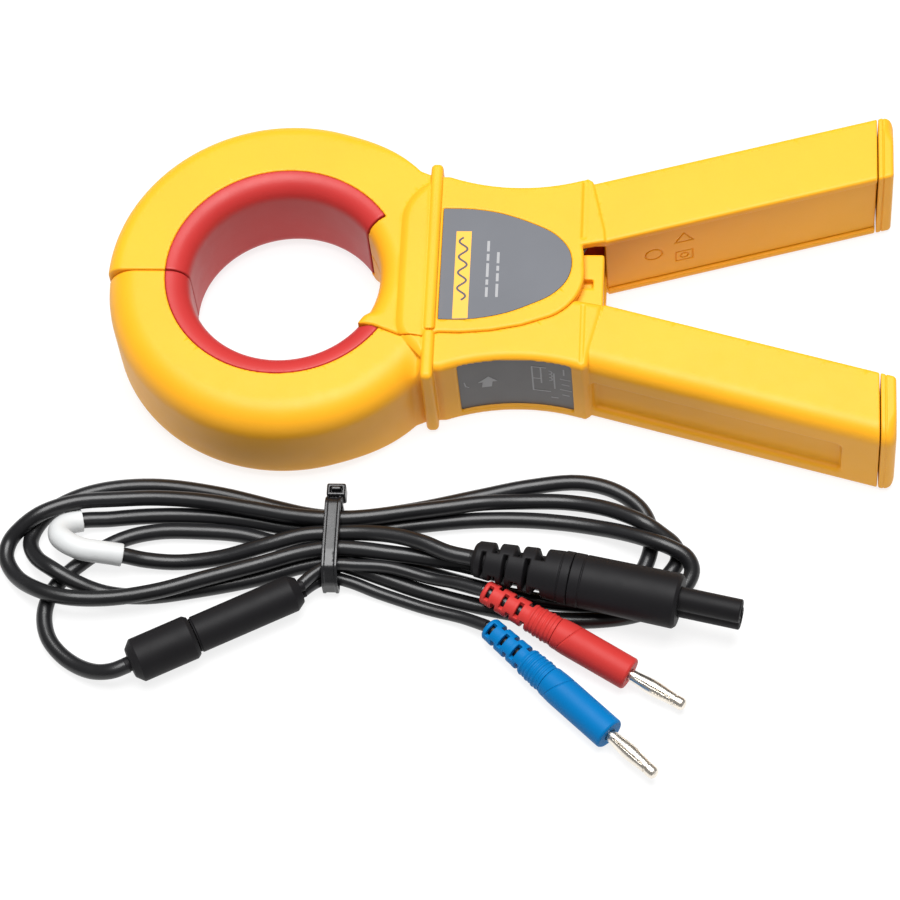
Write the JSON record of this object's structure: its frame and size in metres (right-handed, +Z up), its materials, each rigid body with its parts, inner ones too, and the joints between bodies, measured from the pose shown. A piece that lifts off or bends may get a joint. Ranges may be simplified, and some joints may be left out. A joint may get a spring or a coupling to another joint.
{
  "type": "clamp meter",
  "caption": "Clamp meter head with sprung round jaws, finger guard and squeeze handles, and a coiled test lead with plugs.",
  "frame": {"origin": "under the middle of the clamp, on the surface that it lies on", "axes": "+X from the jaws to the handles, +Y away from the test lead, +Z up out of the front face"},
  "size_m": [0.2425, 0.1915, 0.0301],
  "materials": {
    "shell_yellow": "fine-grained moulded amber plastic",
    "liner_red": "satin moulded red plastic",
    "core_steel": "stacked core strip",
    "winding_copper": null,
    "label_grey": "printed film",
    "label_dark": "printed film",
    "hinge_steel": "plated",
    "hinge_brass": "turned",
    "socket_black": "moulded",
    "board_green": "circuit board",
    "lead_black": "soft satin cable sheath",
    "sleeve_white": "marker sleeve",
    "plug_red": "moulded grip",
    "plug_blue": "moulded grip",
    "pin_nickel": "nickel plated"
  },
  "bodies": {
    "lower_half": {"lower_shell": "shell_yellow", "lower_liner": "liner_red", "lower_core": "core_steel", "lower_winding": "winding_copper", "lower_handle_panel": "shell_yellow", "lower_end_cap": "shell_yellow", "socket_body": "socket_black", "socket_pin_a": "hinge_brass", "socket_pin_b": "hinge_brass", "burden_board": "board_green", "side_label": "label_dark", "pivot_bush": "hinge_brass", "pivot_washer": "hinge_steel", "return_spring": "hinge_steel", "lead_cable": "lead_black", "marker_sleeve": "sleeve_white", "red_lead": "lead_black", "blue_lead": "lead_black", "cable_tie": "socket_black", "splitter_collar": "lead_black", "splitter_barrel": "lead_black", "connector_boot": "lead_black", "connector_body": "lead_black", "connector_nose": "lead_black", "contact_a": "hinge_brass", "contact_b": "hinge_brass", "red_plug_boot": "plug_red", "red_plug_body": "plug_red", "red_plug_pin": "pin_nickel", "red_plug_lantern": "pin_nickel", "blue_plug_boot": "plug_blue", "blue_plug_body": "plug_blue", "blue_plug_pin": "pin_nickel", "blue_plug_lantern": "pin_nickel"},
    "upper_half": {"upper_shell": "shell_yellow", "upper_liner": "liner_red", "upper_core": "core_steel", "upper_winding": "winding_copper", "upper_handle_panel": "shell_yellow", "upper_end_cap": "shell_yellow", "front_label": "label_grey", "pivot_screw": "hinge_steel", "pivot_insert": "hinge_brass"}
  },
  "joints": [
    {"name": "jaw_hinge", "type": "hinge", "parent": "lower_half", "child": "upper_half", "pos_m": [0.008, 0, 0.01435], "axis": [0, 0, -1], "range_deg": [0, 24], "stiffness_Nm_per_rad": 0.6, "springref_deg": -22.92, "deforming": ["return_spring"]}
  ]
}
